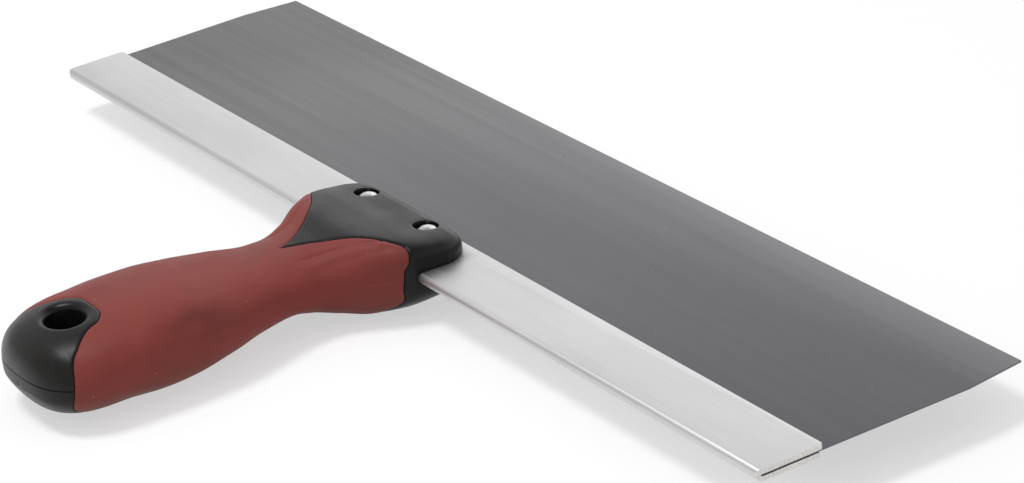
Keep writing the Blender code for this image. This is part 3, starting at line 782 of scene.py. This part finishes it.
dome = [between(butt_start, butt_end, sin(radians(90 - DOME_STEP * (i + 0.5)))) for i in range(DOME_RINGS)]
straight = head_front - JAW_CORNER_ROUND
nose = [between(straight, head_front, sin(pi / 2 * i / NOSE_RINGS)) for i in range(1, NOSE_RINGS + 1)]
outside = skin(dome + evenly(butt_start, straight, RING_STEP) + nose, SKIN_SIDES, 0.0)

# Roll the skin into the seam and the recesses, press in the crease, and raise the pillow and the flash
to_butt_line, to_head_line = near(butt_line), near(head_line)
to_crease, to_pillow = (
    near([Vector((x, y, skin_height(x, y, 1))) for x, y in curve_through(line, CURVE_STEP)])
    for line in (CREASE, PILLOW)
)
outside.normal_update()
moves = []
for vert in outside.verts:
    x, y, z = abs(vert.co.x), vert.co.y, vert.co.z
    height = z - mid_plane
    flat = Vector((x, y - lean(x, y, height), 0))
    to_seam = to_head_line if y > grip_middle else to_butt_line
    move = -SEAM_DEPTH * dent(to_seam(flat), SEAM_ROLL)
    for axis in rivet_axes:
        move -= RIM_DEPTH * dent(abs((vert.co - axis).xy.length - RECESS_RADIUS), RIM_ROLL)
    if height > 0:
        right = Vector((x, y, z))
        fade = ease((y - CREASE[0][1]) / FADE_IN) * (1.0 if vert.co.x > 0 else FAR_WING_SHARE)
        move -= CREASE_DEPTH * fade * dent(to_crease(right), CREASE_WIDTH)
        move += PILLOW_HEIGHT * fade * dent(to_pillow(right), PILLOW_WIDTH)
    if abs(height) < MERGE and grip_shoulder - FLASH_LENGTH < y < grip_shoulder:
        move += FLASH_HEIGHT
    moves.append(vert.normal * move)
for vert, move in zip(outside.verts, moves):
    vert.co += move

# The nylon is worn in patches and dusty, and a painted warm sheen lightens the butt's end
matt_nylon = Finish("matt_nylon", specular=0.20)
moulded = matt_nylon.noise(0.35 * MM, rough=0.6)
worn = matt_nylon.noise(14 * MM, detail=4.0, rough=0.6)
matt_nylon.paint(matt_nylon.fit(worn, 0.35, 0.70, 0.0, 1.0), NYLON_BLACK, NYLON_WORN)
# Painted sheen: lighter and warmer towards the butt's end
matt_nylon.cover(matt_nylon.along("Y", butt_end + 16 * MM, butt_end, 0.4), NYLON_PAINTED_BUTT_SHEEN)
matt_nylon.cover(matt_nylon.specks(2.2 * MM, (0.04, 0.075), 6 * MM, (0.46, 0.56), 0.6), NYLON_DUST)
matt_nylon.set("Roughness", matt_nylon.fit(worn, 0.3, 0.7, 0.31, 0.40))
matt_nylon.relief(moulded, 0.018 * MM)

moulding = piece("handle_moulding", outside.copy(), matt_nylon.material)
parting_size = (4 * HEAD_HALF, 2 * (butt_start - butt_end), PARTING_WIDTH)
parting = piece("parting", block(parting_size, (0, butt_end, mid_plane)))
inside = skin(dome + [butt_start, butt_start + MM], SKIN_SIDES, PARTING_DEPTH)
bmesh.ops.translate(inside, vec=(0, PARTING_DEPTH, 0), verts=inside.verts)
cut(parting, piece("inside_parting", inside))
cut(moulding, parting)
around_spine = grip_zone(SEAM)
cut(around_spine, spine(SEAM))
cut(moulding, around_spine)

slot_end = fold_line.y + REACH
cut(moulding, piece("slot", folded(0, half_thick + SLOT_CLEARANCE, slot_end, slot_end, SLOT_OVERHANG)))

recess_top = skin_height(*rivet_axes[0].xy, 1) - RECESS_TOP_DEPTH
recess_bottom = skin_height(*rivet_axes[0].xy, -1) + RECESS_BOTTOM_DEPTH
punch(moulding, RIVET_HOLE_RADIUS)
punch(moulding, RECESS_RADIUS, low=recess_top)
punch(moulding, RECESS_RADIUS, high=recess_bottom)

through = bar(HANG_HOLE_HALF_LENGTH, mid_plane - REACH, mid_plane + REACH, hang_hole)
through.data.transform(Matrix.Diagonal((HANG_HOLE_OVALNESS, 1, 1, 1)))
cut(moulding, through)
rounding = [
    (MOUTH_HALF_LENGTH - MOUTH_ROUND * cos(radians(angle)), MOUTH_ROUND * (sin(radians(angle)) - 1))
    for angle in MOUTH_ANGLES
]
mouth_profile = [
    (0, rounding[0][1]), *rounding, (MOUTH_HALF_LENGTH, MOUTH_CUTTER_HEIGHT), (0, MOUTH_CUTTER_HEIGHT),
]
for side in (1, -1):
    mouth = turned(mouth_profile, hang_hole)
    for vert in mouth.verts:
        vert.co.x *= HANG_HOLE_OVALNESS
        vert.co.z = skin_height(vert.co.x, vert.co.y, side) + side * vert.co.z
    bmesh.ops.recalc_face_normals(mouth, faces=mouth.faces)
    cut(moulding, piece("mouth", mouth))
stands_for(moulding, "black_plastic", "handle_core")

# ---------------------------------------------------------------------------------------------------------
# Soft overmould. Red thermoplastic elastomer, moulded round the spine as the second shot, with a fine
# stippled skin. A shallow crease and a thumb pillow run along each wing of its V, and its edges roll into
# the seam with the rigid moulding.
# ---------------------------------------------------------------------------------------------------------

# Where the palm smudges the grip: shares of the palm's half-width, of the grip's length, of the palm's rise
PALM_SPOT_OUT, PALM_SPOT_ALONG, PALM_SPOT_UP = 0.86, 0.32, 0.65
PALM_SPOT_REACH = 7 * MM
PALM_SPOT_CORE = 1.0 * MM
PALM_SPOT_STRETCH = Vector((1, 0.5, 1))
RED_DEEP = (0.200, 0.0395, 0.0325)
RED_MOTTLED = (0.232, 0.0445, 0.037)
RED_GRIME = (0.122, 0.033, 0.027)
# Painted shade for the underside
RED_PAINTED_UNDERSHADE = (0.150, 0.054, 0.042)
RED_GRIPPED = (0.115, 0.024, 0.022)
RED_NICK = (0.50, 0.26, 0.24)

# The elastomer is mottled and grimy, painted in shade underneath, nicked, and smudged where the palm holds it
red_elastomer = Finish("red_elastomer", specular=0.17)
stipple = red_elastomer.noise(0.28 * MM, rough=0.65)
mottle = red_elastomer.noise(18 * MM, detail=4.0, rough=0.6)
grime = red_elastomer.noise(9 * MM, (1, 0.7, 1), detail=6.0, rough=0.6, shift=(0.2, 0, 0.4))
red_elastomer.paint(red_elastomer.fit(mottle, 0.30, 0.70, 0.0, 1.0), RED_DEEP, RED_MOTTLED)
red_elastomer.cover(red_elastomer.fit(grime, 0.50, 0.72, 0.0, 0.30), RED_GRIME)
# Painted shade: the grip turns darker and browner towards its underside
red_elastomer.cover(red_elastomer.along("Z", mid_plane, mid_plane - 8 * MM, 0.5), RED_PAINTED_UNDERSHADE)
palm_spot = Vector((
    PALM_SPOT_OUT * PALM_HALF, between(butt_start, head_end, PALM_SPOT_ALONG),
    mid_plane + PALM_SPOT_UP * palm_rise,
))
from_spot = red_elastomer.place(PALM_SPOT_STRETCH, shift=-palm_spot * PALM_SPOT_STRETCH)
from_spot = red_elastomer.node("ShaderNodeVectorMath", {0: from_spot}, operation="LENGTH").outputs["Value"]
gripped = red_elastomer.product(
    red_elastomer.fit(from_spot, PALM_SPOT_REACH, PALM_SPOT_CORE, 0.0, 0.55),
    red_elastomer.fit(grime, 0.40, 0.62, 0.3, 1.0),
)
red_elastomer.cover(gripped, RED_GRIPPED)
red_elastomer.cover(red_elastomer.specks(3.6 * MM, (0.035, 0.06), 8 * MM, (0.45, 0.55), 0.7), RED_NICK)
red_elastomer.set("Roughness", red_elastomer.fit(mottle, 0.3, 0.7, 0.46, 0.60))
red_elastomer.relief(stipple, 0.02 * MM)

overmould = piece("grip_overmould", outside, red_elastomer.material)
cut(overmould, grip_zone(0.0), "INTERSECT")
cut(overmould, spine(0.0))
stands_for(overmould, "red_grip", "soft_grip")

# ---------------------------------------------------------------------------------------------------------
# Rivets. Two bright steel compression rivets through both jaws, the strip and the blade: a domed cap whose
# pin is pressed into a hollow post from below. Their heads sit below the moulding, in round recesses.
# ---------------------------------------------------------------------------------------------------------

RIVET_CLEARANCE = 0.3 * MM
RIVET_HEAD_RADIUS = 2.65 * MM
RIVET_CROWN = 0.9 * MM
RIVET_RIM = 0.6 * MM
RIM_BREAK = 0.15 * MM
HEAD_SEAT = 0.05 * MM
POST_RADIUS = 2.5 * MM
POST_BORE_RADIUS = 1.75 * MM
POST_BORE_DEPTH = 9.0 * MM
PIN_RADIUS = 1.4 * MM
CROWN_STEPS = 14
BRIGHT = (0.72, 0.72, 0.73)
BRIGHT_PRESSED = (0.56, 0.56, 0.57)

bright_steel = Finish("bright_steel", metallic=1.0)
pressed = bright_steel.noise(0.6 * MM)
bright_steel.paint(bright_steel.fit(pressed, 0.35, 0.70, 0.0, 1.0), BRIGHT, BRIGHT_PRESSED)
bright_steel.set("Roughness", bright_steel.fit(pressed, 0.3, 0.7, 0.18, 0.34))
bright_steel.relief(pressed, 0.01 * MM)

crown_radius = (RIVET_HEAD_RADIUS**2 + RIVET_CROWN**2) / (2 * RIVET_CROWN)
spread = [(RIVET_HEAD_RADIUS - RIM_BREAK) * (1 - i / CROWN_STEPS) for i in range(CROWN_STEPS + 1)]
crown = [(x, sqrt(crown_radius**2 - x**2) - crown_radius + RIVET_CROWN) for x in spread]
seat, foot = recess_top + HEAD_SEAT, recess_bottom - HEAD_SEAT
bore_floor = seat - RIVET_CLEARANCE - POST_BORE_DEPTH
cap = [
    (0, bore_floor + RIVET_CLEARANCE), (PIN_RADIUS, bore_floor + RIVET_CLEARANCE), (PIN_RADIUS, seat),
    (RIVET_HEAD_RADIUS, seat), (RIVET_HEAD_RADIUS, seat + RIVET_RIM),
    *((x, seat + RIVET_RIM + z) for x, z in crown),
]
post = [
    *((x, foot - RIVET_RIM - z) for x, z in reversed(crown)), (RIVET_HEAD_RADIUS, foot - RIVET_RIM),
    (RIVET_HEAD_RADIUS, foot), (POST_RADIUS, foot), (POST_RADIUS, seat - RIVET_CLEARANCE),
    (POST_BORE_RADIUS, seat - RIVET_CLEARANCE), (POST_BORE_RADIUS, bore_floor), (0, bore_floor),
]
for side, axis in zip(("left", "right"), rivet_axes):
    for half_name, profile in (("cap", cap), ("post", post)):
        made = piece(f"{side}_rivet_{half_name}", turned(profile, axis), bright_steel.material)
        stands_for(made, "rivet_steel", f"rivet_{half_name}_{side}")

# ---------------------------------------------------------------------------------------------------------
# Studio. A plain white floor in an even pale room, with a square softbox overhead. In reflections the room
# is white low down beyond the blade, and dimmer overhead and beyond the handle.
# ---------------------------------------------------------------------------------------------------------

FLOOR_SIZE = 6.0
FLOOR_PAPER = (0.80, 0.80, 0.80, 1)
FLOOR_GLOW = 0.55
WHITE = (1, 1, 1, 1)
ROOM_LIGHT = 0.57
CEILING_SHARE = 0.25
CEILING_FROM, CEILING_TO = 0.66, 0.90
HANDLE_SIDE_SHARE, BLADE_SIDE_SHARE = 0.68, 1.35
HANDLE_SIDE_FROM, HANDLE_SIDE_TO = 0.05, 0.70
SOFTBOX_TOWARD = Vector((-0.15, -0.26, 0.955))
SOFTBOX_DISTANCE = 1.3
SOFTBOX_SIZE = 0.36
SOFTBOX_POWER = 9.0

# The floor throws back light like pale paper, and looks partly lit from within, directly and in reflections
white_floor = bpy.data.materials.new("white_floor")
white_floor.use_nodes = True
tree = white_floor.node_tree
tree.nodes.clear()
rays = add_node(tree, "ShaderNodeLightPath", {}).outputs
paper = add_node(tree, "ShaderNodeBsdfDiffuse", {"Color": FLOOR_PAPER}).outputs[0]
lit = add_node(tree, "ShaderNodeBsdfDiffuse", {"Color": WHITE}).outputs[0]
glow = add_node(tree, "ShaderNodeEmission", {}).outputs[0]
shown = add_node(tree, "ShaderNodeMixShader", {"Fac": FLOOR_GLOW, 1: lit, 2: glow}).outputs[0]
looks = {0: rays["Is Camera Ray"], 1: rays["Is Glossy Ray"]}
looked_at = add_node(tree, "ShaderNodeMath", looks, operation="MAXIMUM").outputs["Value"]
surface = add_node(tree, "ShaderNodeMixShader", {"Fac": looked_at, 1: paper, 2: shown}).outputs[0]
add_node(tree, "ShaderNodeOutputMaterial", {"Surface": surface})

ground = bmesh.new()
bmesh.ops.create_grid(ground, x_segments=1, y_segments=1, size=FLOOR_SIZE / 2)
floor = piece("floor", ground, white_floor)

world = bpy.data.worlds.new("studio")
world.use_nodes = True
bpy.context.scene.world = world
tree = world.node_tree
rays = add_node(tree, "ShaderNodeLightPath", {}).outputs
heading = add_node(tree, "ShaderNodeTexCoord", {}).outputs["Generated"]
heading = add_node(tree, "ShaderNodeSeparateXYZ", {"Vector": heading}).outputs
ceiling = add_ramp(tree, heading["Z"], CEILING_FROM, CEILING_TO, 1.0, CEILING_SHARE)
sides = add_ramp(
    tree, heading["Y"], HANDLE_SIDE_FROM, HANDLE_SIDE_TO, HANDLE_SIDE_SHARE, BLADE_SIDE_SHARE,
)
mirrored = add_node(tree, "ShaderNodeMath", {0: ceiling, 1: sides}, operation="MULTIPLY").outputs["Value"]
room = {"Factor": rays["Is Glossy Ray"], "A": ROOM_LIGHT, "B": mirrored}
room = add_node(tree, "ShaderNodeMix", room).outputs["Result"]
backdrop = {"Factor": rays["Is Camera Ray"], "A": room, "B": 1.0}
backdrop = add_node(tree, "ShaderNodeMix", backdrop).outputs["Result"]
background = tree.nodes["Background"].inputs
background["Color"].default_value = WHITE
tree.links.new(backdrop, background["Strength"])

softbox = bpy.data.lights.new("softbox", "AREA")
softbox.shape = "SQUARE"
softbox.size = SOFTBOX_SIZE
softbox.energy = SOFTBOX_POWER
lamp = bpy.data.objects.new("softbox", softbox)
bpy.context.collection.objects.link(lamp)
lamp.location = SOFTBOX_TOWARD.normalized() * SOFTBOX_DISTANCE
lamp.rotation_euler = SOFTBOX_TOWARD.to_track_quat("Z", "Y").to_euler()

# The camera stands off the near end of the blade on the handle's side, with a long lens
CAMERA_PLACE = (829.19 * MM, -397.62 * MM, 421.05 * MM)
CAMERA_RIGHT = Vector((0.52449252, 0.84190756, -0.12688282))
CAMERA_UP = Vector((-0.28761392, 0.31546413, 0.90430117))
FOCAL_LENGTH = 136.56
SENSOR_WIDTH = 36.0

view = bpy.data.cameras.new("camera")
view.lens = FOCAL_LENGTH
view.sensor_width = SENSOR_WIDTH
camera = bpy.data.objects.new("camera", view)
bpy.context.collection.objects.link(camera)
turn = Matrix((CAMERA_RIGHT, CAMERA_UP, CAMERA_RIGHT.cross(CAMERA_UP))).transposed()
camera.matrix_world = Matrix.Translation(CAMERA_PLACE) @ turn.to_4x4()
bpy.context.scene.camera = camera
bpy.context.scene.view_settings.view_transform = "Standard"
